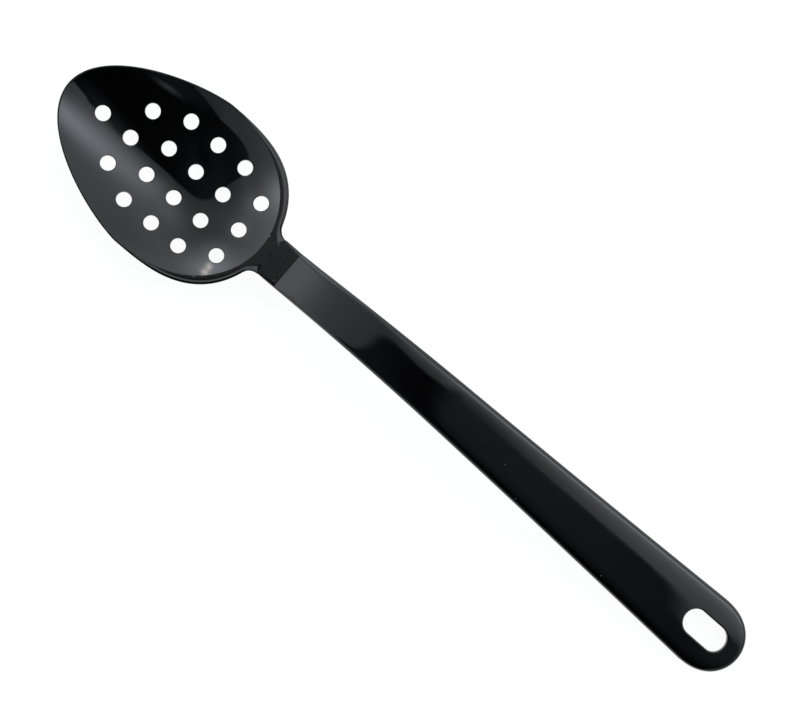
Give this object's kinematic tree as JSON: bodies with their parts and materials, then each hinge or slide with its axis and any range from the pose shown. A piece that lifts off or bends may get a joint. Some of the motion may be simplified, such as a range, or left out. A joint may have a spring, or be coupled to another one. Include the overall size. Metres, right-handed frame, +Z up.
{
  "type": "slotted serving spoon",
  "caption": "Serving spoon moulded in one piece, with an egg-shaped bowl perforated by round drain holes, a flat neck and an arched handle with a slot for hanging.",
  "frame": {"origin": "under the middle of the spoon's length, on the table that it rests on: the bottom of the bowl and the end of the handle both touch z = 0", "axes": "+X runs along the spoon from the tip of the bowl to the end of the handle, +Y across it and +Z up, out of the bowl's cavity"},
  "size_m": [0.3299, 0.066, 0.0332],
  "materials": {
    "black_plastic": "moulded gloss"
  },
  "bodies": {
    "root": {"serving_spoon": "black_plastic"}
  },
  "joints": []
}
